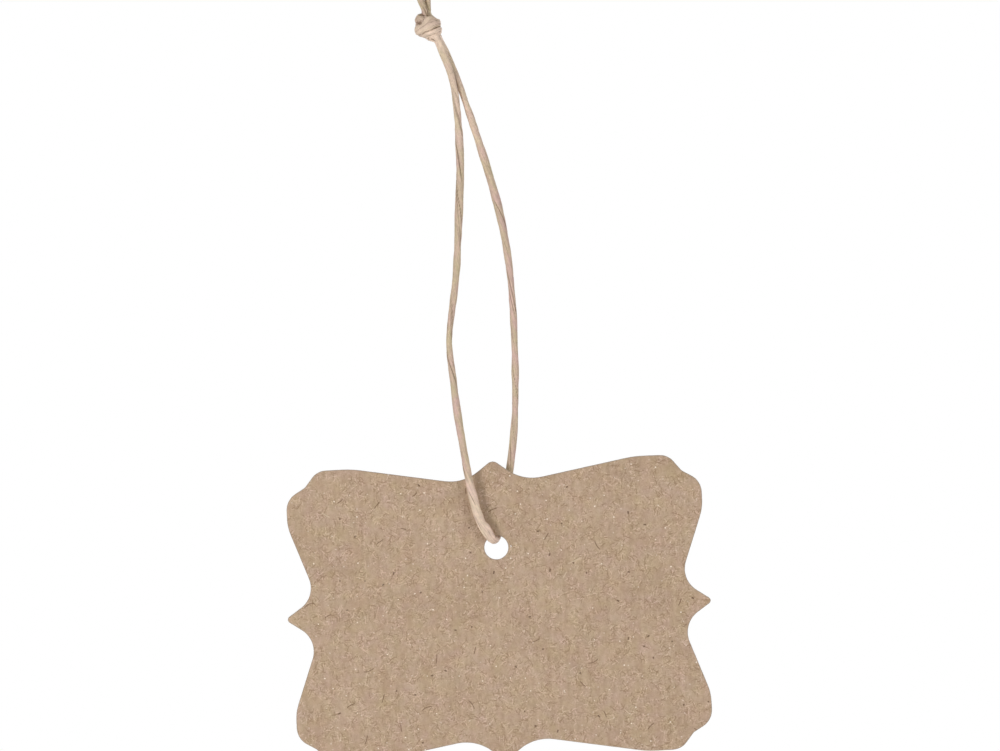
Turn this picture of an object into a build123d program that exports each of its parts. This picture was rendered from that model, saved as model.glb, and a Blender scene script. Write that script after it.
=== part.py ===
from build123d import *
import math
import os

# Gift tag: a die-cut kraft card on a knotted loop of twisted paper twine, hanging as it does in use.
# Millimetres. +X runs to the right across the card, +Y away from its front face, +Z up.
# The origin lies just under the knot, between the two strands of the loop that leave it.

# Card stock and punched hole
card_thickness = 0.5
hole_diameter = 4.8
hole_right_of_knot = 7.1
hole_below_knot = 101.6
hole_below_bump = 17.55

# Die-cut outline: a quarter of it as sharp corners, which the die rounds.
# "in" and "drop" are measured from the side point and from the top bump.
half_width = 42.86
half_height = 30.1
bump_round = 1.5
valley_out = 6.0
valley_drop = 4.5
valley_round = 10.5
shoulder_in = 14.56
shoulder_drop = 0.6
shoulder_round = 20.0
lobe_in = 7.76
lobe_drop = 0.65
lobe_round = 3.5
notch_in = 5.16
notch_drop = 3.9
notch_round = 1.2
cheek_in = 1.31
cheek_drop = 6.15
cheek_round = 5.5
flank_drop = 11.6
flank_round = 10.0
waist_in = 6.46
waist_rise = 4.4
waist_round = 5.0
point_round = 0.7

# Twine and how it runs through the hole and out of the knot
twine_diameter = 1.5
strand_gap = 0.08
rim_gap = 0.25
face_gap = 0.7
bight_lean = 15.0
neck_length = 8.0
bend_share = 0.45
half_run = 0.5

# Overhand knot: a pressed core under two slanting wraps
knot_left = 1.75
knot_rise = 3.05
core_diameter = 4.9
wrap_diameter = 3.5
wrap_thickness = 2.0
wrap_spacing = 1.7
wrap_tilt = 16.0

hole_x = hole_right_of_knot
hole_z = -hole_below_knot
card_z = hole_z + hole_below_bump - half_height
twine_radius = twine_diameter / 2

# The rim hangs on the bight, a little left of the hole's top, and the legs stand clear of both faces
bight_reach = hole_diameter / 2 - rim_gap - twine_radius
bight_x = hole_x - bight_reach * math.sin(math.radians(bight_lean))
bight_z = hole_z + bight_reach * math.cos(math.radians(bight_lean))
leg_y = card_thickness / 2 + face_gap + twine_radius
neck_y = (twine_diameter + strand_gap) / 2


def turn_at(points, i):
    """Angle in degrees by which a route turns at its point i."""
    before = Vector(*points[i]) - Vector(*points[i - 1])
    after = Vector(*points[(i + 1) % len(points)]) - Vector(*points[i])
    return before.get_angle(after)


def widest_radius(points, i, share):
    """Radius of the arc at point i that takes the given share of the shorter run beside it."""
    before = (Vector(*points[i]) - Vector(*points[i - 1])).length
    after = (Vector(*points[(i + 1) % len(points)]) - Vector(*points[i])).length
    return share * min(before, after) / math.tan(math.radians(turn_at(points, i) / 2))


def die_outline():
    """Corners and radii of the whole outline, clockwise from the top bump."""
    quarter = [
        (0, half_height, bump_round),
        (valley_out, half_height - valley_drop, valley_round),
        (half_width - shoulder_in, half_height - shoulder_drop, shoulder_round),
        (half_width - lobe_in, half_height - lobe_drop, lobe_round),
        (half_width - notch_in, half_height - notch_drop, notch_round),
        (half_width - cheek_in, half_height - cheek_drop, cheek_round),
        (half_width - cheek_in, half_height - flank_drop, flank_round),
        (half_width - waist_in, waist_rise, waist_round),
        (half_width, 0, point_round),
    ]
    right = quarter + [(x, -z, r) for x, z, r in quarter[-2::-1]]
    return right + [(-x, z, r) for x, z, r in right[-2:0:-1]]


def build_card():
    """Kraft card: the die-cut outline with its hole, flat and plumb under the hole."""
    outline = die_outline()
    corners = [(hole_x + x, 0, card_z + z) for x, z, r in outline]
    radii = [min(r, widest_radius(corners, i, half_run)) for i, (x, z, r) in enumerate(outline)]
    face = make_face(FilletPolyline(*corners, radius=radii, close=True))
    card = extrude(face, amount=card_thickness / 2, both=True)
    punch = Cylinder(hole_diameter / 2, card_thickness * 2, rotation=(90, 0, 0))
    return card - Pos(hole_x, 0, hole_z) * punch


def bend_radii(name, points):
    """Arc radii at a twine route's inner points, each as large as its two runs allow."""
    radii = [widest_radius(points, i, bend_share) for i in range(1, len(points) - 1)]
    print(name, "bend radii mm:", [round(r, 1) for r in radii])
    return radii


def twine(name, points, radii):
    """Round twine along straight runs joined by tangent arcs."""
    path = FilletPolyline(*points, radius=radii)
    section = Plane(origin=path @ 0, z_dir=path % 0) * Circle(twine_radius)
    solid = sweep(section, path=path)
    plain_volume = math.pi * twine_radius**2 * path.length
    print(f"{name}: length {path.length:.1f} mm, volume share {solid.volume / plain_volume:.4f}")
    return solid


def midpoint(a, b):
    return tuple((p + q) / 2 for p, q in zip(a, b))


# Loop: down the front leg, through the hole, up behind the card and back into the knot
front_leg_route = [
    (-0.88, -neck_y, 2.4),
    (2.9, -0.95, -9.4),
    (3.6, -1.5, -22.5),
    (1.9, -2.2, -43.5),
    (-0.75, -2.8, -60.8),
    (0.55, -2.8, -75.0),
    (2.45, -2.4, -88.5),
    (4.25, -2.0, -96.2),
]
bight_route = [
    (bight_x, -leg_y, bight_z),
    (bight_x, leg_y, bight_z),
]
back_leg_route = [
    (7.95, 2.0, -95.8),
    (9.9, 2.4, -88.9),
    (11.9, 2.8, -76.0),
    (12.95, 2.8, -61.5),
    (12.7, 2.3, -48.5),
    (11.3, 1.7, -36.5),
    (8.6, 1.3, -25.2),
    (4.5, 1.0, -10.3),
    (-0.48, neck_y, 2.4),
]
tail_left_route = [
    (-2.3, -0.5, 4.4),
    (-4.0, -0.7, 9.6),
    (-5.2, -0.4, 16.0),
    (-6.8, 0.2, 22.0),
]
tail_right_route = [
    (-1.6, 0.5, 4.4),
    (-1.4, 0.6, 10.0),
    (-0.6, 0.4, 17.0),
    (0.9, -0.1, 23.4),
]

loop_route = front_leg_route + bight_route + back_leg_route
loop_radii = bend_radii("loop", loop_route)
front_count = len(front_leg_route)
back_start = front_count + len(bight_route)
front_end = midpoint(loop_route[front_count - 1], loop_route[front_count])
back_end = midpoint(loop_route[back_start - 1], loop_route[back_start])

front_strand = twine("front strand", front_leg_route + [front_end], loop_radii[: front_count - 1])
bight = twine("bight", [front_end] + bight_route + [back_end], loop_radii[front_count - 1 : back_start - 1])
back_strand = twine("back strand", [back_end] + back_leg_route, loop_radii[back_start - 1 :])

# The strands are parted twice: level with the origin, where they come out of the knot, and at the foot of
# the neck, where the loop twists
twist_plane = Plane.XY.offset(-neck_length)


def part_strand(strand):
    """Root inside the knot, neck that bends, and leg of one strand."""
    root = split(strand, bisect_by=Plane.XY, keep=Keep.TOP)
    below = split(strand, bisect_by=Plane.XY, keep=Keep.BOTTOM)
    neck = split(below, bisect_by=twist_plane, keep=Keep.TOP)
    leg = split(below, bisect_by=twist_plane, keep=Keep.BOTTOM)
    return root, neck, leg


front_root, front_neck, front_leg = part_strand(front_strand)
back_root, back_neck, back_leg = part_strand(back_strand)


def build_knot():
    """Knot: two wraps pulled tight round a core, with the roots of both strands below."""
    wrap = Torus(wrap_diameter / 2, wrap_thickness / 2)
    wraps = Pos(0, 0, wrap_spacing / 2) * wrap + Pos(0, 0, -wrap_spacing / 2) * wrap
    ball = Sphere(core_diameter / 2) + Rot(0, -wrap_tilt, 0) * wraps
    return Pos(-knot_left, 0, knot_rise) * ball + front_root + back_root


knot = build_knot()
tail_left = twine("left tail", tail_left_route, bend_radii("left tail", tail_left_route)) - knot
tail_right = twine("right tail", tail_right_route, bend_radii("right tail", tail_right_route)) - knot

nodes = {
    "card": build_card(),
    "twine_knot": knot,
    "twine_tail_left": tail_left,
    "twine_tail_right": tail_right,
    "twine_neck": front_neck + back_neck,
    "twine_front_leg": front_leg,
    "twine_bight": bight,
    "twine_back_leg": back_leg,
}
os.makedirs("parts", exist_ok=True)
for name, solid in nodes.items():
    export_step(solid, f"parts/{name}.step")
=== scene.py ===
import math

import bmesh
import bpy
import numpy as np
from mathutils import Matrix, Vector, geometry, noise


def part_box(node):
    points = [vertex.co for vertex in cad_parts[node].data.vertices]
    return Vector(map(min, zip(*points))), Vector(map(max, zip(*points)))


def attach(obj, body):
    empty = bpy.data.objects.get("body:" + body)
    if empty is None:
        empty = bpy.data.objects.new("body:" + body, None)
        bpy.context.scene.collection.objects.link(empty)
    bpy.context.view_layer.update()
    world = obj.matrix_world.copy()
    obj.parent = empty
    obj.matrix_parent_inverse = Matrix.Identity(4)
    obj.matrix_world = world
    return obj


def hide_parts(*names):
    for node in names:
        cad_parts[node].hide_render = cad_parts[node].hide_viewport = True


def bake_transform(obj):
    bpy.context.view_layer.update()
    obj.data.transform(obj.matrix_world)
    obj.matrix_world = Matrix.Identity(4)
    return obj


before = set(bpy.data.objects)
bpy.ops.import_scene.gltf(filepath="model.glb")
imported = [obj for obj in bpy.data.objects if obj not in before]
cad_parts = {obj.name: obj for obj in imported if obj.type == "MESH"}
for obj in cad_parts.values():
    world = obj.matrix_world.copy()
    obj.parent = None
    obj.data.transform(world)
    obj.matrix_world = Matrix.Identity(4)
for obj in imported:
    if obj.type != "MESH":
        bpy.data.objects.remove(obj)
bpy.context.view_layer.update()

# Card
# The tag itself: stiff kraft board half a millimetre thick, struck out with a steel-rule die, which
# rolls the front edge over and leaves a faint burr behind, and punched for the twine. Board is never
# quite flat, so it bows a little away from the hole.
mm = 0.001
rim_spacing = 0.3
rim_look = 2
grid_spacing = 1.3
grid_row_share = 0.87
hole_margin = 0.98
front_facing = -0.9
join_distance = 1e-6
inside_only = 1

# How far in from the cut, and how deep through the board, from front to back
die_profile = [
    (0.50, -0.250),
    (0.22, -0.249),
    (0.10, -0.238),
    (0.03, -0.205),
    (0.00, -0.140),
    (0.00, 0.000),
    (0.00, 0.150),
    (0.02, 0.215),
    (0.06, 0.244),
    (0.20, 0.250),
    (0.50, 0.250),
]
ragged_inset = 0.05
ragged_depth = 0.022
ragged_along = 1.9
ragged_through = 9
bow_across = 0.30
bow_twist = 0.22
bow_wander = 0.10
bow_span = 43.0
wander_size = 31
wander_slice = 2.7


def len_of(line):
    """Running length along a line of points."""
    return np.r_[0, np.cumsum(np.linalg.norm(np.diff(line, axis=0), axis=1))]


def even_points(line, count):
    """The same line with that many points, an equal step apart."""
    run = len_of(line)
    at = np.linspace(0, run[-1], count)
    return np.stack([np.interp(at, run, column) for column in line.T], axis=1)


def even_steps(line, step):
    """The same line with its points about a step apart."""
    return even_points(line, max(2, round(len_of(line)[-1] / step) + 1))


def rim_loops(node):
    """Closed outlines of a flat node's front face in millimetres of x and z, the longest first."""
    shell = bmesh.new()
    shell.from_mesh(node.data)
    bmesh.ops.remove_doubles(shell, verts=shell.verts, dist=join_distance)
    front = {f for f in shell.faces if f.normal.y < front_facing}
    rims = [e for e in shell.edges if len(front.intersection(e.link_faces)) == 1]
    loops = []
    while rims:
        edge = rims.pop()
        loop = [edge.verts[0], edge.verts[1]]
        while loop[-1] is not loop[0]:
            edge = next(e for e in loop[-1].link_edges if e in rims)
            rims.remove(edge)
            loop.append(edge.other_vert(loop[-1]))
        loops.append(np.array([(v.co.x, v.co.z) for v in loop]) * (1 / mm))
    shell.free()
    return sorted(loops, key=lambda loop: -len_of(loop)[-1])


def wander(x, z):
    """Slow unevenness of the board at a place on it."""
    return noise.noise((x / wander_size, wander_slice, z / wander_size))


def bow(x, z):
    """How far the board stands back from flat at a place on it."""
    across = (x - hole_middle[0]) / bow_span
    down = (z - hole_middle[1]) / bow_span
    uneven = wander(x, z) - wander(*hole_middle)
    return bow_across * across * across + bow_twist * across * down + bow_wander * uneven


def rim_rows(loop, inward):
    """Rows of points round one rim, from the front face over the cut edge to the back face."""
    loop = even_steps(loop, rim_spacing)[:-1]
    ahead = np.roll(loop, -rim_look, axis=0) - np.roll(loop, rim_look, axis=0)
    normal = np.stack([ahead[:, 1], -ahead[:, 0]], axis=1)
    normal /= np.linalg.norm(normal, axis=1)[:, None]
    middle = loop.mean(axis=0)
    if (np.einsum("ij,ij->i", normal, loop - middle).mean() > 0) == inward:
        normal = -normal
    rows = []
    for inset, y in die_profile:
        depth = ragged_depth if inset < ragged_inset else 0.0
        rough = [noise.noise((x * ragged_along, y * ragged_through, z * ragged_along)) for x, z in loop]
        moved = loop + normal * (inset + depth * np.array(rough))[:, None]
        rows.append([(x, y, z) for x, z in moved])
    return rows


def fill_face(rims, inset, depth):
    """Fills one face of the card between its rims with even triangles."""
    owners = [i for rim in rims for i in rim]
    spots = np.array([(card_points[i][0], card_points[i][2]) for i in owners])
    edges = []
    first = 0
    for rim in rims:
        edges += [(first + i, first + (i + 1) % len(rim)) for i in range(len(rim))]
        first += len(rim)
    low, high = spots.min(axis=0), spots.max(axis=0)
    flat = [Vector(spot) for spot in spots]
    for row, z in enumerate(np.arange(low[1], high[1], grid_spacing * grid_row_share)):
        for x in np.arange(low[0] + (row % 2) * grid_spacing / 2, high[0], grid_spacing):
            flat.append(Vector((x, z)))
    filled = geometry.delaunay_2d_cdt(flat, edges, [], inside_only, join_distance)
    placed, _, triangles, origins, _, _ = filled
    number = {}
    for i, source in enumerate(origins):
        known = [s for s in source if s < len(owners)]
        if known:
            number[i] = owners[known[0]]
    for triangle in triangles:
        centre = np.mean([placed[i] for i in triangle], axis=0)
        if np.linalg.norm(centre - hole_middle) < hole_reach + inset * hole_margin:
            continue
        for i in triangle:
            if i not in number:
                number[i] = len(card_points)
                card_points.append((placed[i][0], depth, placed[i][1]))
                card_rim.append(0.0)
        card_faces.append([number[i] for i in triangle])


card_loops = rim_loops(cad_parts["card"])
hole_middle = card_loops[1].mean(axis=0)
hole_reach = np.linalg.norm(card_loops[1] - hole_middle, axis=1).mean()
card_points = []
card_faces = []
card_rim = []
face_rims = {0: [], len(die_profile) - 1: []}
for loop, inward in ((card_loops[0], True), (card_loops[1], False)):
    rows = rim_rows(loop, inward)
    count = len(rows[0])
    start = len(card_points)
    for k, row in enumerate(rows):
        card_points += row
        card_rim += [1 - die_profile[k][0] / die_profile[0][0]] * count
        if k in face_rims:
            face_rims[k].append(range(start + k * count, start + (k + 1) * count))
    for k in range(len(rows) - 1):
        a, b = start + k * count, start + (k + 1) * count
        for i in range(count):
            j = (i + 1) % count
            card_faces.append((a + i, a + j, b + j, b + i))
for k, rims in face_rims.items():
    fill_face(rims, *die_profile[k])
card_points = [(x, y + bow(x, z), z) for x, y, z in card_points]


def make_piece(name, points, faces, material, **values):
    """A smooth mesh object from millimetre points, with named values stored on its points."""
    mesh = bpy.data.meshes.new(name)
    mesh.from_pydata((np.array(points) * mm).tolist(), [], faces)
    shell = bmesh.new()
    shell.from_mesh(mesh)
    bmesh.ops.recalc_face_normals(shell, faces=shell.faces)
    shell.to_mesh(mesh)
    shell.free()
    mesh.shade_smooth()
    for key, value in values.items():
        value = np.array(value, dtype=np.float32)
        kind, field = ("FLOAT", "value") if value.ndim == 1 else ("FLOAT_VECTOR", "vector")
        mesh.attributes.new(key, kind, "POINT").data.foreach_set(field, value.ravel())
    mesh.materials.append(material)
    piece = bpy.data.objects.new(name, mesh)
    bpy.context.scene.collection.objects.link(piece)
    return piece


class Shade:
    """A value, vector or colour in a material's nodes, which takes Python's own operators."""

    def __init__(self, tree, socket=None):
        self.tree = tree
        self.socket = socket

    def node(self, kind, settings=None, sockets=None, out=0):
        """A node of any type: its settings, then the values or links of its sockets."""
        made = self.tree.nodes.new(kind)
        for name, value in (settings or {}).items():
            setattr(made, name, value)
        for key, value in (sockets or {}).items():
            if isinstance(value, Shade):
                self.tree.links.new(value.socket, made.inputs[key])
            else:
                made.inputs[key].default_value = value
        return Shade(self.tree, made.outputs[out] if made.outputs else None)

    def also(self, out):
        """Another output of the same node."""
        return Shade(self.tree, self.socket.node.outputs[out])

    def maths(self, operation, left, right=0.0):
        """Two values, or two vectors or colours, worked out by one node."""
        if any(isinstance(v, Shade) and v.socket.type in ("VECTOR", "RGBA") for v in (left, right)):
            left, right = [v if isinstance(v, (Shade, tuple)) else (v, v, v) for v in (left, right)]
            return self.node("ShaderNodeVectorMath", {"operation": operation}, {0: left, 1: right})
        return self.node("ShaderNodeMath", {"operation": operation}, {0: left, 1: right})

    def __add__(self, other):
        return self.maths("ADD", self, other)

    def __radd__(self, other):
        return self.maths("ADD", other, self)

    def __sub__(self, other):
        return self.maths("SUBTRACT", self, other)

    def __rsub__(self, other):
        return self.maths("SUBTRACT", other, self)

    def __mul__(self, other):
        return self.maths("MULTIPLY", self, other)

    def __rmul__(self, other):
        return self.maths("MULTIPLY", other, self)

    def __abs__(self):
        return self.maths("ABSOLUTE", self)

    def rise(self, low, high):
        """0 below low, 1 above high and smooth between; low above high makes it fall."""
        return self.node(
            "ShaderNodeMapRange",
            {"interpolation_type": "SMOOTHSTEP"},
            {0: self, 1: min(low, high), 2: max(low, high), 3: float(low > high), 4: float(low < high)},
        )

    def mix(self, under, over):
        """Two colours mixed by this value."""
        return self.node("ShaderNodeMix", {"data_type": "RGBA"}, {0: self, 6: under, 7: over}, out=2)

    def cloud(self, size, detail=2.0, roughness=0.5):
        """Soft noise about 0, at this place, with lumps of that size."""
        made = self.node(
            "ShaderNodeTexNoise",
            {"noise_dimensions": "3D"},
            {"Vector": self, "Scale": 1 / size, "Detail": detail, "Roughness": roughness},
        )
        return made - 0.5

    def scaled(self, contrast, middle=0.5):
        """The same noise about another middle, with more or less contrast."""
        return self * contrast + middle


def colour(red, green, blue):
    """A screen colour of 0 to 255 as the shader's linear one."""
    screen = np.array([red, green, blue]) / 255
    linear = np.where(screen <= 0.04045, screen / 12.92, ((screen + 0.055) / 1.055) ** 2.4)
    return (*linear.tolist(), 1.0)


def new_material(name):
    """An empty node material, and the Shade that starts its nodes."""
    material = bpy.data.materials.new(name)
    material.use_nodes = True
    material.node_tree.nodes.clear()
    return material, Shade(material.node_tree)


def finish_material(shade, sockets):
    """The surface itself, joined to the material's output."""
    surface = shade.node("ShaderNodeBsdfPrincipled", None, sockets)
    shade.node("ShaderNodeOutputMaterial", None, {"Surface": surface})


seed_right = 7.31
seed_up = 3.17
fibre_shorter = 0.5
fibre_core = 0.35
fibre_taper = 0.8
share_edge = 0.01


def strewn_fibres(place, cell, reach, width, curl, share, seed):
    """Mask of short bent fibres strewn over the board, at most one in each cell."""
    spot = place * (1 / cell) + (seed * seed_right, seed * seed_up, 0.0)
    cells = spot.node("ShaderNodeTexVoronoi", {"voronoi_dimensions": "2D"}, {"Vector": spot, "Scale": 1.0})
    away = (spot - cells.also("Position")) * cell
    dice = away.node("ShaderNodeSeparateColor", None, {0: cells.also("Color")})
    turned = away.node(
        "ShaderNodeVectorRotate",
        {"rotation_type": "Z_AXIS"},
        {"Vector": away, "Angle": dice * (2 * math.pi)},
    )
    along = away.node("ShaderNodeSeparateXYZ", None, {0: turned})
    across = along.also("Y") + along * along * ((dice.also("Green") - 0.5) * curl)
    ends = abs(along) * (1 / reach) + dice.also("Green") * fibre_shorter
    here = dice.also("Blue").rise(share + share_edge, share - share_edge)
    return abs(across).rise(width, width * fibre_core) * ends.rise(1.0, fibre_taper) * here


def layered(level, *layers):
    """A level with layers of noise added, each at its own strength."""
    for layer, strength in layers:
        level = level + layer * strength
    return level


board_dark = colour(156, 130, 106)
board_light = colour(211, 186, 166)
tint_green = colour(252, 255, 249)
tint_pink = colour(255, 251, 255)
tint_yellow = colour(255, 255, 243)
tint_blue = colour(255, 255, 257)
fleck_pale = colour(252, 242, 226)
fleck_brown = colour(92, 68, 48)
hair_brown = colour(112, 86, 62)
straw_pale = colour(216, 197, 171)
ply_dark = colour(146, 131, 117)
ply_light = colour(180, 163, 146)
board_level = 0.46
patch_least = 0.25
back_facing = 0.3
back_offset = 170.0

kraft, shade = new_material("kraft_board")
place = shade.node("ShaderNodeTexCoord", out="Object")
where = place * (1 / mm)
axes = where.node("ShaderNodeSeparateXYZ", None, {0: where})
facing = where.node("ShaderNodeSeparateXYZ", None, {0: place.also("Normal")})
behind = where.maths("GREATER_THAN", facing.also("Y"), back_facing)
face = where.node("ShaderNodeCombineXYZ", None, {0: axes, 1: axes.also("Z"), 2: 0.0})
face = face + behind * back_offset
rim = shade.node("ShaderNodeAttribute", {"attribute_name": "rim"}, out="Fac")

# Tone: slow clouds, the grain of the board's making and the tooth of its fibres
clouding = face.cloud(size=9.0)
blotches = (face * (1.0, 0.7, 1.0)).cloud(size=2.2)
grain = (face * (1.0, 0.06, 1.0)).cloud(size=0.9)
mottle = (face * (1.0, 0.65, 1.0)).cloud(size=0.8, roughness=0.6)
tooth = face.cloud(size=0.34, detail=1.0)
patchy = face.cloud(size=2.4).scaled(contrast=4.0, middle=0.55).rise(0.0, 1.0) + patch_least
fibres_dark = (
    strewn_fibres(face, cell=1.15, reach=0.60, width=0.11, curl=1.5, share=0.60, seed=1.0)
    + strewn_fibres(face, cell=1.80, reach=0.95, width=0.11, curl=0.9, share=0.60, seed=2.0)
    + strewn_fibres(face, cell=3.10, reach=1.55, width=0.10, curl=0.5, share=0.50, seed=8.0)
)
fibres_light = (
    strewn_fibres(face, cell=1.10, reach=0.55, width=0.12, curl=1.3, share=0.55, seed=7.0)
    + strewn_fibres(face, cell=2.00, reach=1.00, width=0.11, curl=0.8, share=0.50, seed=9.0)
)
tone = layered(
    board_level,
    (clouding, 0.30),
    (blotches, 0.35),
    (grain, 0.35),
    (mottle, 0.62),
    (tooth * patchy, 1.18),
    (fibres_light * patchy, 0.48),
    (fibres_dark * patchy, -0.45),
)
warmth = (face * (1.0, 0.6, 1.0)).cloud(size=2.6).scaled(contrast=2.2)
yellowing = (face * (0.7, 1.0, 1.0)).cloud(size=3.2, detail=3.0, roughness=0.6).scaled(contrast=2.2)
board_colour = tone.mix(board_dark, board_light)
board_colour = board_colour * warmth.mix(tint_green, tint_pink)
board_colour = board_colour * yellowing.mix(tint_yellow, tint_blue)

# What the pulp carries: flecks, hairs and straws
flecks_bright = strewn_fibres(face, cell=3.2, reach=0.17, width=0.15, curl=0.0, share=0.20, seed=3.0)
flecks_faint = strewn_fibres(face, cell=2.6, reach=0.17, width=0.15, curl=0.0, share=0.30, seed=10.0)
flecks_dark = strewn_fibres(face, cell=2.5, reach=0.36, width=0.22, curl=0.0, share=0.085, seed=4.0)
hairs_dark = strewn_fibres(face, cell=7.5, reach=1.25, width=0.13, curl=0.6, share=0.36, seed=5.0)
straws = strewn_fibres(face, cell=21.0, reach=1.50, width=0.17, curl=0.05, share=0.26, seed=6.0)
flecks_pale = layered(0.0, (flecks_bright, 0.9), (flecks_faint, 0.4))

# The cut edge, where the board's plies show
plies = (where * (0.8, 26.0, 0.8)).cloud(size=1.6)
cut_edge = rim.rise(0.60, 0.88)
edge_colour = plies.scaled(contrast=1.6).mix(ply_dark, ply_light)
for mask, strength, over in (
    (flecks_pale, 1.0, fleck_pale),
    (flecks_dark, 0.8, fleck_brown),
    (hairs_dark, 0.8, hair_brown),
    (straws, 0.6, straw_pale),
    (cut_edge, 0.75, edge_colour),
):
    board_colour = (mask * strength).mix(board_colour, over)
relief = layered(plies * cut_edge, (mottle, 0.4), (tooth, 0.3), (fibres_light, 0.6), (hairs_dark, 0.5))
bumps = shade.node("ShaderNodeBump", None, {"Strength": 0.6, "Distance": 0.00008, "Height": relief})
finish_material(
    shade,
    {
        "Base Color": board_colour,
        "Roughness": mottle.scaled(contrast=0.25, middle=0.86),
        "Specular IOR Level": 0.25,
        "Normal": bumps,
    },
)
card = make_piece("card_board", card_points, card_faces, kraft, rim=card_rim)
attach(card, "card")
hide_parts("card")

# Twine
# One length of twisted paper twine: a strip of kraft paper rolled and twisted into a cord of about
# 1.5 mm, so creases run round it at a low angle. Halved, it goes down the front of the card, through
# the hole, up behind it, and both halves are tied together in one overhand knot.
twine_radius = 0.715
ring_step = 0.2
ring_count = 30
spline_steps = 40
root_height = 1.2
loop_route = [
    (-0.55, -0.79, 2.4),
    (1.6, -0.72, -3.4),
    (3.05, -0.42, -9.2),
    (3.46, -0.7, -16.5),
    (3.55, -1.35, -25.0),
    (2.55, -2.0, -37.0),
    (1.66, -2.35, -47.5),
    (-0.09, -2.7, -57.0),
    (-0.51, -2.8, -61.5),
    (0.07, -2.8, -67.0),
    (0.52, -2.8, -74.0),
    (1.6, -2.6, -82.5),
    (2.35, -2.4, -88.5),
    (3.98, -2.0, -96.2),
    (6.45, -1.7, -100.3),
    (7.2, 1.7, -100.248),
    (8.5, 2.0, -95.8),
    (10.28, 2.4, -88.0),
    (12.04, 2.8, -77.0),
    (12.6, 2.8, -66.0),
    (12.72, 2.7, -56.0),
    (12.4, 2.2, -45.5),
    (11.14, 1.7, -35.5),
    (8.73, 1.15, -25.2),
    (5.07, 0.5, -12.2),
    (2.5, 0.7, -4.0),
    (-0.55, 0.79, 2.4),
]
tail_left_route = [
    (-1.5, -0.5, 4.4),
    (-2.75, -0.75, 7.6),
    (-3.6, -0.7, 10.6),
    (-4.8, -0.45, 16.0),
    (-6.8, 0.2, 22.0),
]
tail_right_route = [
    (-1.68, 0.5, 4.4),
    (-1.64, 0.6, 10.0),
    (-0.8, 0.4, 17.0),
    (0.9, -0.1, 23.4),
]


def spline_line(name, route):
    """Points along the smooth spline that a route's points control."""
    curve = bpy.data.curves.new(name, "CURVE")
    curve.dimensions = "3D"
    spline = curve.splines.new("NURBS")
    spline.points.add(len(route) - 1)
    for point, place in zip(spline.points, route):
        point.co = (*place, 1.0)
    spline.order_u = 3
    spline.use_endpoint_u = True
    spline.resolution_u = spline_steps
    holder = bpy.data.objects.new(name, curve)
    bpy.context.scene.collection.objects.link(holder)
    bpy.context.view_layer.update()
    mesh = bpy.data.meshes.new_from_object(holder)
    line = np.array([v.co for v in mesh.vertices])
    bpy.data.objects.remove(holder)
    bpy.data.meshes.remove(mesh)
    bpy.data.curves.remove(curve)
    return line


loop_line = even_steps(spline_line("loop_route", loop_route), ring_step)
tail_left_line = spline_line("tail_left_route", tail_left_route)
tail_right_line = spline_line("tail_right_route", tail_right_route)
below_knot = np.flatnonzero(loop_line[:, 2] <= root_height)
loop_line = loop_line[below_knot[0] : below_knot[-1] + 1]

# Knot
# Both halves of the twine in a single overhand knot. It is tied here as by hand: laid out loose, then
# drawn up by shortening each strand until the strands bear on each other and stop.
knot_middle = np.array([-1.75, 0.0, 2.95])
knot_turn = math.radians(224.0)
knot_tilt = math.radians(10.0)
tail_holds = (6.2, 5.7)

# The loose knot, and how far its two strands lie apart
loose_size = 1.9
loose_points = 90
loose_depth = 1.1
loose_middle = 3.4
loose_gap = 0.38
loose_lead = (1.2, -3.9, 0.0)
half_apart = 0.55

# Drawing it up
knot_points = 120
draw_steps = 150
settle_rounds = 50
draw_rate = 0.99
slack_stretch = 1.045
tight_stretch = 1.05
strand_spacing = 1.30
press = 0.014
press_reach = 4.0
bend_ease = 0.05
push_share = 1.5
recentre = 0.15
search_every = 6
search_reach = 1.6
own_reach = 1.7

# How its turns slide when it is pulled tight
slump = 0.50
slump_ease = 5.0
slump_limit = 1.6
slump_lower = 0.3
slump_height = 1.5
spread = 0.32
broad = 0.12
shift_left = 0.08


def loose_overhand(axis, right, front):
    """An open overhand knot round the knot's axis, from its lower to its upper end."""
    turn = np.linspace(math.pi + loose_gap, 3 * math.pi - loose_gap, loose_points)
    along = np.sin(turn) + 2 * np.sin(2 * turn)
    aside = np.cos(turn) - 2 * np.cos(2 * turn)
    bends = np.stack([along, aside, -loose_depth * np.sin(3 * turn)], axis=1)
    lead = np.array([loose_lead])
    shape = np.concatenate([lead, bends, lead * (-1, 1, 1)]) * loose_size
    shape[:, 1] += loose_middle * loose_size
    c, s = math.cos(knot_turn), math.sin(knot_turn)
    across = shape[:, 1] * c - shape[:, 2] * s
    out = shape[:, 1] * s + shape[:, 2] * c
    return knot_middle - np.outer(shape[:, 0], axis) + np.outer(across, right) + np.outer(out, front)


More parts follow.
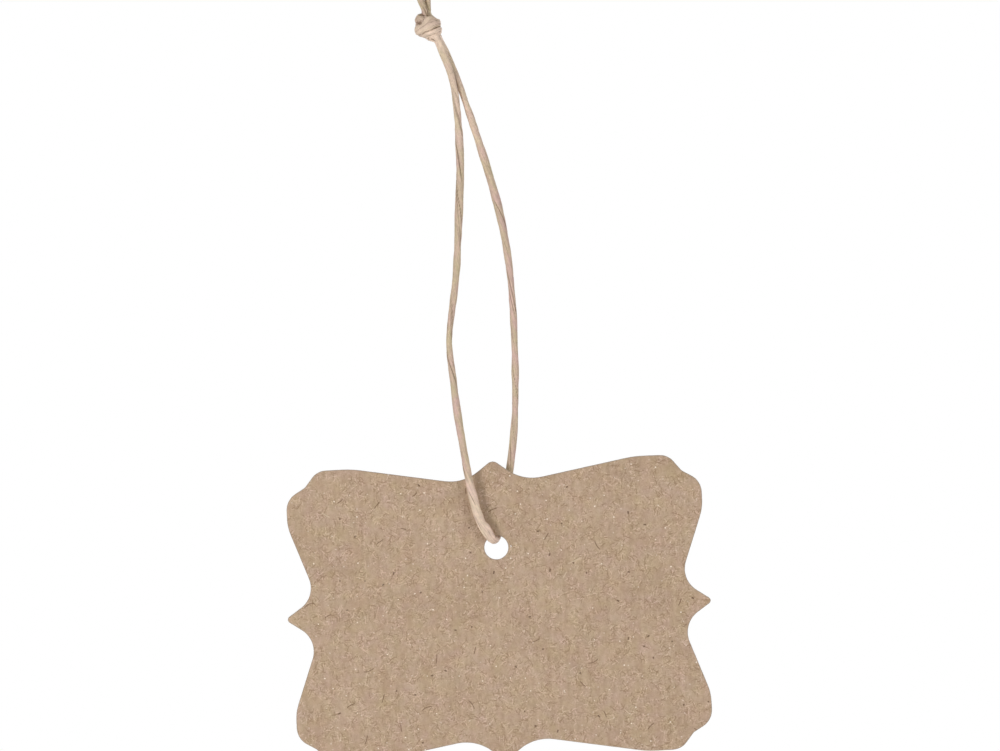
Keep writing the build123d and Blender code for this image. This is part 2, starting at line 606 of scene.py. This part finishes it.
def draw_up(strands):
    """Shortens the strands, whose ends are held, and keeps them a spacing apart until they are tight."""
    n = knot_points
    x = np.concatenate(strands)
    held = np.zeros(2 * n, bool)
    for k in range(2):
        held[[k * n, k * n + 1, k * n + n - 2, k * n + n - 1]] = True
    kept = x[held].copy()
    order = np.tile(np.arange(n), 2)
    strand = np.repeat([0, 1], n)
    pair_a, pair_b = np.triu_indices(2 * n, 1)
    middle = np.r_[n // 4 : 3 * n // 4, n + n // 4 : n + 3 * n // 4]
    links = np.array([len_of(p)[-1] / (n - 1) for p in strands])
    for step in range(draw_steps):
        for turn in range(settle_rounds):
            if turn % search_every == 0:
                apart = np.abs(order[pair_a] - order[pair_b]) * links[0] > own_reach * strand_spacing
                free = apart | (strand[pair_a] != strand[pair_b])
                gap = np.linalg.norm(x[pair_a] - x[pair_b], axis=1)
                near = free & (gap < search_reach * strand_spacing)
                a, b = pair_a[near], pair_b[near]
            for k in range(2):
                for first in (0, 1):
                    i = k * n + np.arange(first, n - 1, 2)
                    reach = x[i + 1] - x[i]
                    pull = 0.5 * (1 - links[k] / np.linalg.norm(reach, axis=1))[:, None] * reach
                    x[i] += pull
                    x[i + 1] -= pull
                inner = slice(k * n + 1, k * n + n - 1)
                between = 0.5 * (x[k * n : k * n + n - 2] + x[k * n + 2 : k * n + n])
                x[inner] += bend_ease * (between - x[inner])
            reach = x[b] - x[a]
            gap = np.linalg.norm(reach, axis=1)
            tight = gap < strand_spacing
            share = 0.5 * (strand_spacing - gap[tight]) / np.maximum(gap[tight], 1e-6)
            push = share[:, None] * reach[tight]
            moved, hits = np.zeros_like(x), np.zeros(2 * n)
            np.add.at(moved, b[tight], push)
            np.add.at(moved, a[tight], -push)
            np.add.at(hits, b[tight], 1)
            np.add.at(hits, a[tight], 1)
            x += push_share * moved / np.maximum(hits, 1)[:, None]
            inward = knot_middle - x
            x += press * np.exp(-((np.linalg.norm(inward, axis=1) / press_reach) ** 4))[:, None] * inward
            x[held] = kept
        x[middle] += recentre * (knot_middle - x[middle].mean(axis=0))
        stretched = [len_of(x[k * n : (k + 1) * n])[-1] / (links[k] * (n - 1)) for k in range(2)]
        stretched = np.array(stretched)
        if (stretched > tight_stretch).all():
            break
        links = np.where(stretched < slack_stretch, links * draw_rate, links)
    return x[:n], x[n:]


def slumped(strand):
    """A strand whose turns, away from its ends, have slid down on the right and up on the left."""
    run = len_of(strand)
    share = np.clip(np.minimum(run, run[-1] - run) / slump_ease, 0, 1)
    share = share * share * (3 - 2 * share)
    off = strand - knot_middle
    more = 1 - slump_lower * np.clip(off[:, 2] / slump_height, -1, 1)
    drop = slump * more * share * np.clip(off[:, 0], -slump_limit, slump_limit)
    slide = share * (spread * np.minimum(off[:, 2], 0) + broad * off[:, 0] - shift_left)
    return strand + np.stack([slide, np.zeros_like(run), -drop], axis=1)


def part_above(line, height):
    """The part of a rising line from the first point over that height."""
    return line[np.flatnonzero(line[:, 2] > height)[0] :]


def unit(rows):
    """The same directions, each of length 1."""
    return rows / np.linalg.norm(rows, axis=-1, keepdims=True)


tail_lines = [part_above(tail_left_line, tail_holds[0]), part_above(tail_right_line, tail_holds[1])]
knot_starts = [loop_line[[2, 0]], loop_line[[-3, -1]]]
knot_ends = [line[[0, 2]] for line in tail_lines]
knot_axis = np.array([math.sin(knot_tilt), 0.0, math.cos(knot_tilt)])
knot_right = np.array([math.cos(knot_tilt), 0.0, -math.sin(knot_tilt)])
knot_front = np.array([0.0, -1.0, 0.0])
loose_line = loose_overhand(knot_axis, knot_right, knot_front)
beside = np.zeros_like(loose_line)
carried = knot_front
for i, ahead in enumerate(unit(np.gradient(loose_line, axis=0))):
    carried = unit(carried - ahead * (carried @ ahead))
    beside[i] = carried
loose_strands = []
for side, low_end, high_end in zip((1, -1), knot_starts, knot_ends):
    strand = np.concatenate([low_end, loose_line + side * half_apart * strand_spacing * beside, high_end])
    loose_strands.append(even_points(strand, knot_points))
knot_strands = [slumped(strand) for strand in draw_up(loose_strands)]

# Twist
# The whole twine as one cord, from the tip of the left tail to the tip of the right one, so that its
# creases run on through knot, neck and loop. It is squeezed flat in the knot and where it turns
# through the hole, and the paper has come open a little at both cut ends.
smooth_rounds = 8


def smooth_line(line, rounds):
    """A line with its small kinks eased, ends kept."""
    for _ in range(rounds):
        line = np.concatenate([line[:1], (line[:-2] + 2 * line[1:-1] + line[2:]) / 4, line[-1:]])
    return line


upper_left = np.concatenate([tail_lines[0][::-1], knot_strands[0][::-1][2:-2], loop_line[:1]])
upper_right = np.concatenate([loop_line[-1:], knot_strands[1][2:-2], tail_lines[1]])
upper_left = smooth_line(even_steps(upper_left, ring_step), smooth_rounds)
upper_right = smooth_line(even_steps(upper_right, ring_step), smooth_rounds)
twine_line = np.concatenate([upper_left[:-1], loop_line, upper_right[1:]])
twine_run = len_of(twine_line)
height = twine_line[:, 2]
hanging = len(upper_left) - 1 + np.flatnonzero(loop_line[:, 2] <= 0)
left_root = int(hanging[0])
right_root = int(hanging[-1])

# Two directions square to the twine at each ring: its side, to the right where it hangs, and out
twine_heading = unit(np.gradient(twine_line, axis=0))
twine_side = np.zeros_like(twine_line)
for i in range(left_root, right_root + 1):
    ahead = twine_heading[i]
    twine_side[i] = unit(np.array([1.0, 0.0, 0.0]) - ahead * ahead[0])
for places in (range(left_root - 1, -1, -1), range(right_root + 1, len(twine_line))):
    carried = twine_side[places[0] - places.step]
    for i in places:
        carried = unit(carried - twine_heading[i] * (carried @ twine_heading[i]))
        twine_side[i] = carried
twine_out = np.cross(twine_heading, twine_side)


def drift(step, seed):
    """A smooth wander between -1 and 1 along the twine, with a new value every step."""
    count = int(twine_run.max() / step) + 4
    values = np.random.default_rng(seed).uniform(-1, 1, count)
    place = twine_run / step
    low = np.floor(place).astype(int)
    part = place - low
    part = part * part * (3 - 2 * part)
    return values[low] * (1 - part) + values[low + 1] * part


def stretch(at, middle, fade, half=0.0):
    """1 over a stretch that reaches half each way from its middle, falling smoothly to 0 past it."""
    part = np.clip(1 - np.maximum(np.abs(at - middle) - half, 0) / fade, 0, 1)
    return part * part * (3 - 2 * part)


bight_run = twine_run[left_root + int(np.argmin(height[left_root : right_root + 1]))]
half_loop = bight_run - twine_run[left_root]
to_bight = twine_run - bight_run
to_tip = np.minimum(twine_run, twine_run[-1] - twine_run)
from_root = twine_run - twine_run[left_root]
front_half = to_bight < 0
from_knot = twine_line - knot_middle
in_knot = stretch(np.linalg.norm(from_knot, axis=1), middle=0.0, half=1.9, fade=2.2)
in_knot[left_root : right_root + 1] = 0.0
at_hole = stretch(to_bight, middle=-6.0, half=5.0, fade=7.0)
at_fold = stretch(to_bight, middle=-2.2, fade=4.5)

# Girth: uneven all along, open at the tips, drawn thin in places and full in others
uneven_long = 0.06
uneven_short = 0.035
tip_open = 0.14
loop_swing = 0.07
loop_depth = 54
thin_amount = 0.13
root_amount = 0.10
full_amount = 0.12
thin_front = stretch(height, middle=-59, fade=8.0) + 0.4 * stretch(height, middle=-14, fade=4.0)
thin_back = stretch(height, middle=-74, fade=8.0)
full_front = stretch(height, middle=-26, fade=16.0)
full_back = stretch(height, middle=-38, fade=22.0)
girth = (
    1
    + uneven_long * drift(step=5.0, seed=11)
    + uneven_short * drift(step=1.6, seed=12)
    + tip_open * stretch(to_tip, middle=0.0, fade=2.4)
    + loop_swing * np.cos(2 * math.pi * (height + loop_depth / 2) / loop_depth)
    - thin_amount * np.where(front_half, thin_front, thin_back)
    + root_amount * stretch(height, middle=-0.5, fade=4.0)
    + full_amount * np.where(front_half, full_front, full_back) * (np.abs(to_bight) < half_loop)
)

# How much wider and how much flatter it is where it is squeezed
squeezed = [(in_knot, 0.46, 0.18), (at_hole, 0.20, 0.20), (at_fold, 0.14, 0.08)]
half_width = twine_radius * girth * (1 + sum(place * wider for place, wider, flatter in squeezed))
half_thick = twine_radius * girth * (1 - sum(place * flatter for place, wider, flatter in squeezed))
wide_way = np.cross(twine_heading, from_knot)
wide_out = np.einsum("ij,ij->i", wide_way, twine_out)
wide_side = np.einsum("ij,ij->i", wide_way, twine_side)
flat_turn = np.arctan2(wide_out, wide_side) * (in_knot > 0)

# Painted light: the paper is made paler at the hole, under the knot and down the upper legs, where it
# faces the lamps
front_leg_fade = 16.0
back_leg_fade = 11.0
leg_fade = np.where(front_half, front_leg_fade, back_leg_fade)
painted_light_places = [
    (0.55, at_hole),
    (0.85, stretch(height, middle=0.5, fade=5.5)),
    (0.42, stretch(height, middle=-12, half=4, fade=leg_fade)),
]
painted_light_share = np.max([pale * place for pale, place in painted_light_places], axis=0)

# Creases: the strip's folds all along, small pleats in the knot and long ones by the hole, cut into the
# shape and darkened with painted shade
twist_pitch = 21.0
twist_wander = 0.5
crease_depth = 0.20
oval_bulge = 0.05
oval_wander = 0.8

# Each fold's angle round the twine, its width and its seed
folds = [(0.0, 0.16, 21), (1.5, 0.12, 22), (2.7, 0.18, 23), (4.1, 0.12, 24), (5.2, 0.15, 25)]
fold_wander = 0.5
fold_depth = 0.55
fold_depth_change = 0.9
fold_bulge = 0.05
fold_bulge_width = 0.9
hole_smooths = 0.65
root_smooths = 0.75
knot_pleats = 11
knot_pleat_shift = 0.3
knot_pleat_wander = 0.4
knot_pleat_depth = 0.25
knot_pleat_change = 0.6
knot_pleat_width = 0.09

# Start and end of each long pleat before the hole, its angle at both, its width and its depth
hole_pleats = [
    (-12.8, -8.6, 2.9, 0.9, 0.15, 1.0),
    (-8.2, -1.5, 2.75, 2.2, 0.13, 0.8),
    (-6.5, -1.0, 1.75, 1.15, 0.10, 0.55),
    (-5.2, -1.0, 1.05, 0.65, 0.10, 0.7),
    (-18.5, -14.0, 2.5, 0.7, 0.12, 0.6),
]
hole_pleat_fade = 0.35


def half_turn(turned):
    """The same angle, between minus and plus half a turn."""
    return (turned + math.pi) % (2 * math.pi) - math.pi


near_root = stretch(height, middle=-4.0, fade=9.0)
near_root[:left_root] = near_root[right_root:] = 0.0
smoothed = (1 - hole_smooths * at_hole) * (1 - root_smooths * near_root)
angle = np.linspace(0, 2 * math.pi, ring_count, endpoint=False)
twist = -2 * math.pi * twine_run / twist_pitch + twist_wander * drift(step=9.0, seed=13)
rolled = angle[None, :] - twist[:, None]
bulge = oval_bulge * np.cos(2 * (rolled - oval_wander * drift(step=12.0, seed=14)[:, None]))
crease_and_shade = np.zeros_like(rolled)
for place, width, seed in folds:
    off = half_turn(rolled - place - fold_wander * drift(step=8.0, seed=seed)[:, None])
    deep = np.clip(fold_depth + fold_depth_change * drift(step=6.0, seed=seed + 20), 0, 1)
    deep = (deep * smoothed)[:, None]
    crease_and_shade = np.maximum(crease_and_shade, deep * np.exp(-((off / width) ** 2)))
    bulge = bulge + fold_bulge * deep * np.tanh(off / width) * np.exp(-((off / fold_bulge_width) ** 2))
pleat_rng = np.random.default_rng(31)
for k in range(knot_pleats):
    place = 2 * math.pi * (k + pleat_rng.uniform(-knot_pleat_shift, knot_pleat_shift)) / knot_pleats
    off = half_turn(rolled - place - knot_pleat_wander * drift(step=3.0, seed=40 + k)[:, None])
    deep = in_knot * np.clip(knot_pleat_depth + knot_pleat_change * drift(step=2.2, seed=60 + k), 0, 1)
    crease_and_shade = np.maximum(crease_and_shade, deep[:, None] * np.exp(-((off / knot_pleat_width) ** 2)))
for first, last, angle_first, angle_last, width, deep in hole_pleats:
    part = (to_bight - first) / (last - first)
    off = half_turn(angle[None, :] - (angle_first + (angle_last - angle_first) * part)[:, None])
    fade = stretch(part, middle=0.5, fade=0.5) ** hole_pleat_fade
    crease_and_shade = np.maximum(crease_and_shade, deep * fade[:, None] * np.exp(-((off / width) ** 2)))

# Swellings on one side: a flap of paper by the hole, the twine filling out against the hole's rim and
# low in the hole, and the front strand spreading as it comes out of the knot
flap_start = -5.4
flap_opens = 0.7
flap_end = -0.6
flap_closes = 3.4
flap_side = 0.25
flap = np.clip((to_bight - flap_start) / flap_opens, 0, 1)
flap = flap * np.clip((flap_end - to_bight) / flap_closes, 0, 1)
from_viewer = angle - 0.5 * math.pi
from_left = angle - math.pi
from_rim = half_turn(angle - 1.5 * math.pi)
swellings = [
    (0.42, flap, half_turn(angle) - flap_side, 0.55),
    (0.79, stretch(to_bight, middle=0.0, fade=1.9), from_rim, 0.7),
    (0.20, stretch(from_root, middle=3.0, fade=8.0), from_left, 0.65),
    (1.30, stretch(from_root, middle=-1.5, fade=1.7), from_left, 0.65),
    (0.75, stretch(from_root, middle=-1.2, fade=1.9), from_viewer, 0.7),
    (0.45, stretch(to_bight, middle=-1.4, fade=2.0), from_viewer, 0.75),
]
for lift, along, off, width in swellings:
    bulge = bulge + lift * along[:, None] * np.exp(-((off[None, :] / width) ** 2))
local = angle[None, :] - flat_turn[:, None]
oval = 1 / np.sqrt((np.cos(local) / half_width[:, None]) ** 2 + (np.sin(local) / half_thick[:, None]) ** 2)
reach = oval * (1 + bulge - crease_depth * crease_and_shade)
ring_points = (
    twine_line[:, None, :]
    + (reach * np.cos(angle))[:, :, None] * twine_side[:, None, :]
    + (reach * np.sin(angle))[:, :, None] * twine_out[:, None, :]
)

# The knot's outline, pulled a little at places of x and z: right and up, within a reach
pulls = [
    ((-0.05, 4.35), 0.8, (0.36, 0.14)),
    ((-0.5, 4.5), 0.6, (0.0, 0.28)),
    ((0.4, 3.6), 0.9, (0.18, 0.0)),
    ((-4.0, 1.9), 0.9, (-0.25, -0.05)),
    ((-3.2, 0.6), 0.7, (0.1, 0.25)),
    ((-1.5, 0.4), 0.7, (-0.1, -0.22)),
    ((-3.1, 5.1), 0.7, (-0.1, 0.25)),
    ((-2.5, 0.6), 0.6, (0.1, 0.2)),
]
knot_rings = (in_knot > 0)[:, None]


def close_to(x, z, x_reach, z_reach):
    """1 for the twine's points at a place of x and z, falling to 0 round it."""
    across = (ring_points[:, :, 0] - x) / x_reach
    up = (ring_points[:, :, 2] - z) / z_reach
    return np.exp(-across * across - up * up)


for (x, z), pull_reach, (right, up) in pulls:
    pulled = close_to(x, z, pull_reach, pull_reach) * knot_rings
    ring_points = ring_points + pulled[:, :, None] * (right, 0.0, up)

# The tails stand back at their feet, and the front wrap is drawn up over them
tail_back = 0.9
tail_back_fade = 3.6
cover_rise = 1.1
cover_place = (-1.75, 4.0)
cover_reach = (1.45, 0.8)
cover_front = -0.9
cover_fade = 0.7
cover_start = 1.0
past_left_tail = twine_run - len_of(tail_lines[0])[-1]
past_right_tail = twine_run[-1] - twine_run - len_of(tail_lines[1])[-1]
past_tails = np.minimum(past_left_tail, past_right_tail)
ring_points[:, :, 1] += tail_back * stretch(past_tails, middle=0.0, fade=tail_back_fade)[:, None]
at_front = np.clip((cover_front - ring_points[:, :, 1]) / cover_fade, 0, 1)
at_front = at_front * np.clip(past_tails - cover_start, 0, 1)[:, None]
ring_points[:, :, 2] += cover_rise * close_to(*cover_place, *cover_reach) * at_front * knot_rings

# Small hollows between the knot's turns: place, reach and how much shade is painted inside
hollows = [((-3.2, 3.6), 0.5, 0.9), ((-3.75, 3.85), 0.35, 0.7), ((-2.45, 5.0), 0.4, 0.5)]
hollow_depth = 0.4
hollow_front = -0.3
for (x, z), hollow_reach, hollow_shade in hollows:
    in_front = knot_rings & (ring_points[:, :, 1] < hollow_front)
    sunk = close_to(x, z, hollow_reach, hollow_reach) * in_front
    ring_points[:, :, 1] += hollow_depth * sunk
    crease_and_shade = np.maximum(crease_and_shade, hollow_shade * sunk)

# Painted shade: dark lines where strands lie against each other, but not where the neck flows out of the
# knot
touch_foot = -19
touch_skip = 2.4
knot_touch_shade = (0.17, 0.9)
leg_touch_shade = (0.24, 1.5)
root_place = twine_line[left_root] + (-0.4, -0.8, 0.7)
root_clear = 0.85
root_clear_reach = 2.2
close_by = (in_knot > 0) | (height > touch_foot) & (np.abs(to_bight) < half_loop + 1)
for i in np.flatnonzero(close_by):
    others = twine_line[close_by & (np.abs(twine_run - twine_run[i]) > touch_skip)]
    touch_width, touch_shade = knot_touch_shade if in_knot[i] > 0 else leg_touch_shade
    from_place = np.linalg.norm(ring_points[i] - root_place, axis=1)
    clear = 1 - root_clear * stretch(from_place, middle=0.0, fade=root_clear_reach)
    away = np.linalg.norm(ring_points[i][:, None, :] - others[None, :, :], axis=2).min(axis=1)
    touch_shading = np.exp(-(((away - reach[i]) / touch_width) ** 2))
    crease_and_shade[i] = np.maximum(crease_and_shade[i], touch_shade * clear * touch_shading)
laid_straight = np.stack(
    [
        twine_radius * np.cos(rolled),
        twine_radius * np.sin(rolled),
        np.repeat(twine_run[:, None], ring_count, axis=1),
    ],
    axis=2,
)
tip_shares = (0.86, 0.72, 0.56, 0.40, 0.22)
tip_sink = 0.12
tip_shade = 0.25
spiral_turns = 3.2
spiral_rise = 0.14
spiral_shade = 0.35


def band(made, low, high):
    """Faces between two rings of a mesh, given the number of each ring's first point."""
    for j in range(ring_count):
        k = (j + 1) % ring_count
        made["faces"].append((low + j, low + k, high + k, high + j))


def twine_length(made, first, last):
    """Adds the twine from one ring to another to a mesh's lists, open at both ends."""
    start = len(made["points"])
    for i in range(first, last + 1):
        made["points"].extend(ring_points[i])
        made["straight"].extend(laid_straight[i])
        made["crease_shade"].extend(crease_and_shade[i])
        made["painted_light"].extend([painted_light_share[i]] * ring_count)
    for i in range(last - first):
        band(made, start + i * ring_count, start + (i + 1) * ring_count)
    return start, start + (last - first) * ring_count


def rolled_tip(made, edge, ring, outward):
    """Closes a cut end with the spiral of the rolled paper strip."""
    middle = twine_line[ring]
    for share in tip_shares:
        start = len(made["points"])
        for j in range(ring_count):
            turn = 2 * math.pi * (share * spiral_turns + j / ring_count)
            level = spiral_rise * math.sin(turn) - tip_sink * (1 - share)
            made["points"].append(middle + (ring_points[ring][j] - middle) * share + outward * level)
            made["straight"].append(laid_straight[ring][j] * (share, share, 1))
            # Painted shade, darker in the spiral's groove than on its ridge
            made["crease_shade"].append(tip_shade - spiral_shade * math.sin(turn))
            made["painted_light"].append(0.0)
        band(made, edge, start)
        edge = start
    made["faces"].append(range(edge, edge + ring_count))


# Paper: kraft between straw and pink, streaked along the twist, paler with painted light, darker with
# painted shade in its folds, with painted glints
paper_straw = colour(196, 179, 146)
paper_pink = colour(204, 173, 161)
paper_lit = colour(240, 216, 194)
paper_crease_shade = colour(104, 76, 50)
paper_glint = colour(240, 222, 200)
painted_light_strength = 0.8
crease_shade_strength = 0.85
glint_strength = 0.5

paper, shade = new_material("twisted_paper")
straight_place = shade.node("ShaderNodeAttribute", {"attribute_name": "straight"}, out="Vector")
crease_shade = shade.node("ShaderNodeAttribute", {"attribute_name": "crease_shade"}, out="Fac")
painted_light = shade.node("ShaderNodeAttribute", {"attribute_name": "painted_light"}, out="Fac")
patches = (straight_place * (0.6, 0.6, 0.25)).cloud(size=0.9)
streaks = (straight_place * (1.0, 1.0, 0.07)).cloud(size=0.22, detail=3.0, roughness=0.6)
crinkle = (straight_place * (1.0, 1.0, 0.7)).cloud(size=0.5, roughness=0.6)
shading = (straight_place * (1.0, 1.0, 0.3)).cloud(size=3.0)
glint_speckle = straight_place.cloud(size=0.16, detail=1.0)
paper_colour = patches.scaled(contrast=2.8).mix(paper_straw, paper_pink)
# Painted light: paler where the twine faces the lamps
paper_colour = (painted_light * painted_light_strength).mix(paper_colour, paper_lit)
paper_light = layered(1.0, (streaks, 0.8), (crinkle, 0.5), (shading, 0.16))
paper_colour = shade.node(
    "ShaderNodeVectorMath", {"operation": "SCALE"}, {0: paper_colour, "Scale": paper_light}
)
# Painted shade: the colour goes dark in the creases, hollows and where strands touch
paper_colour = (crease_shade.rise(0.2, 0.9) * crease_shade_strength).mix(paper_colour, paper_crease_shade)
# Painted glints: pale specks standing in for the paper's gloss
paper_colour = (glint_speckle.rise(0.17, 0.24) * glint_strength).mix(paper_colour, paper_glint)
bumps = shade.node("ShaderNodeBump", None, {"Strength": 0.4, "Distance": 0.00008, "Height": streaks})
finish_material(
    shade,
    {
        "Base Color": paper_colour,
        "Roughness": streaks.scaled(contrast=0.3, middle=0.62),
        "Specular IOR Level": 0.4,
        "Normal": bumps,
    },
)

# The three pieces of the one cord, parted at the root and at the foot of the neck, where bodies change
neck_foot = -8.0
hung_rings = np.flatnonzero(height < neck_foot)
front_foot = int(hung_rings[0])
back_foot = int(hung_rings[-1])
tip_rings = (0, len(twine_line) - 1)


def twine_piece(name, lengths, tips=()):
    """One object of the twine, made of one or more lengths of it."""
    made = {"points": [], "faces": [], "straight": [], "crease_shade": [], "painted_light": []}
    for first, last in lengths:
        low, high = twine_length(made, first, last)
        if first in tips:
            rolled_tip(made, low, first, -twine_heading[first])
        if last in tips:
            rolled_tip(made, high, last, twine_heading[last])
    return make_piece(name, material=paper, **made)


knot = twine_piece("twine_overhand_knot", [(0, left_root), (right_root, tip_rings[1])], tip_rings)
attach(knot, "knot")
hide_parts("twine_knot", "twine_tail_left", "twine_tail_right")
neck = twine_piece("twine_two_strand_neck", [(left_root, front_foot), (back_foot, right_root)])
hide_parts("twine_neck")
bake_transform(neck)
loop = twine_piece("twine_hanging_loop", [(front_foot, back_foot)])
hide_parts("twine_front_leg", "twine_bight", "twine_back_leg")
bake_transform(loop)

# Studio
# A pale round floor some way under the hanging tag, a white surround, one large soft lamp from the
# front left, a weaker one from the right and one behind for the back of the card.
floor_drop = 0.106
floor_radius = 0.75
floor_sides = 96
floor_paint = (0.86, 0.86, 0.86, 1)
floor_glow = 0.30
fade_near = 0.35
fade_far = 0.65
ambient_level = 0.35
white = (1, 1, 1, 1)


def seen_as_backdrop(shade):
    """1 for rays that show the surround, straight or in gloss and glass, and 0 for those that light."""
    rays = shade.node("ShaderNodeLightPath", out="Is Camera Ray")
    return (rays + rays.also("Is Glossy Ray") + rays.also("Is Transmission Ray")).rise(0.0, 1.0)


card_low, card_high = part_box("card")
bpy.ops.mesh.primitive_circle_add(
    vertices=floor_sides, radius=floor_radius, fill_type="NGON", location=(0, 0, card_low.z - floor_drop)
)
floor = bpy.context.object
floor.name = "pale_floor"
pale, shade = new_material("pale_floor")
seen = seen_as_backdrop(shade)
floor_place = shade.node("ShaderNodeTexCoord", out="Object")
from_tag = shade.node("ShaderNodeVectorMath", {"operation": "LENGTH"}, {0: floor_place}, out="Value")
lit = shade.node("ShaderNodeBsdfDiffuse", None, {"Color": floor_paint})
glow = shade.node("ShaderNodeEmission", None, {"Color": white, "Strength": floor_glow})
near = shade.node("ShaderNodeAddShader", None, {0: lit, 1: glow})
far = shade.node("ShaderNodeEmission", None, {"Color": white, "Strength": 1.0})
faded = shade.node("ShaderNodeMixShader", None, {0: from_tag.rise(fade_near, fade_far), 1: near, 2: far})
surface = shade.node("ShaderNodeMixShader", None, {0: seen, 1: lit, 2: faded})
shade.node("ShaderNodeOutputMaterial", None, {"Surface": surface})
floor.data.materials.append(pale)

world = bpy.data.worlds.new("white_surround")
bpy.context.scene.world = world
world.use_nodes = True
world.node_tree.nodes.clear()
shade = Shade(world.node_tree)
seen = seen_as_backdrop(shade)
ambient = shade.node("ShaderNodeBackground", None, {"Color": white, "Strength": ambient_level})
plain_white = shade.node("ShaderNodeBackground", None, {"Color": white, "Strength": 1.0})
surface = shade.node("ShaderNodeMixShader", None, {0: seen, 1: ambient, 2: plain_white})
shade.node("ShaderNodeOutputWorld", None, {"Surface": surface})


def soft_lamp(name, place, size, power):
    """A square soft lamp that faces the middle of the card."""
    lamp = bpy.data.lights.new(name, "AREA")
    lamp.size = size
    lamp.energy = power
    holder = bpy.data.objects.new(name, lamp)
    bpy.context.scene.collection.objects.link(holder)
    aim = (card_low + card_high) / 2
    holder.location = aim + Vector(place)
    holder.rotation_mode = "QUATERNION"
    holder.rotation_quaternion = (aim - holder.location).to_track_quat("-Z", "Y")


soft_lamp("key_front_left", place=(-0.55, -0.66, 0.03), size=0.24, power=3.33)
soft_lamp("fill_front_right", place=(0.62, -0.60, 0.03), size=0.34, power=2.03)
soft_lamp("fill_behind", place=(0.25, 0.80, 0.35), size=0.80, power=4.8)

# Camera
# Square on to the front of the card, turned a little so that the tag leans as it was photographed,
# and framed to take in the loop from its knot to the foot of the card.
view_width = 0.19964
camera_turn = math.radians(2.66)
view_middle = (0.009427, -0.00067, -0.067314)
camera_data = bpy.data.cameras.new("camera")
camera_data.lens = 100.0
camera_data.sensor_width = 36.0
camera = bpy.data.objects.new("camera", camera_data)
bpy.context.scene.collection.objects.link(camera)
distance = view_width * camera_data.lens / camera_data.sensor_width
c, s = math.cos(camera_turn), math.sin(camera_turn)
camera.matrix_world = Matrix(
    (
        (c, s, 0, view_middle[0]),
        (0, 0, -1, view_middle[1] - distance),
        (-s, c, 0, view_middle[2]),
        (0, 0, 0, 1),
    )
)
bpy.context.scene.camera = camera
bpy.context.scene.view_settings.view_transform = "Standard"
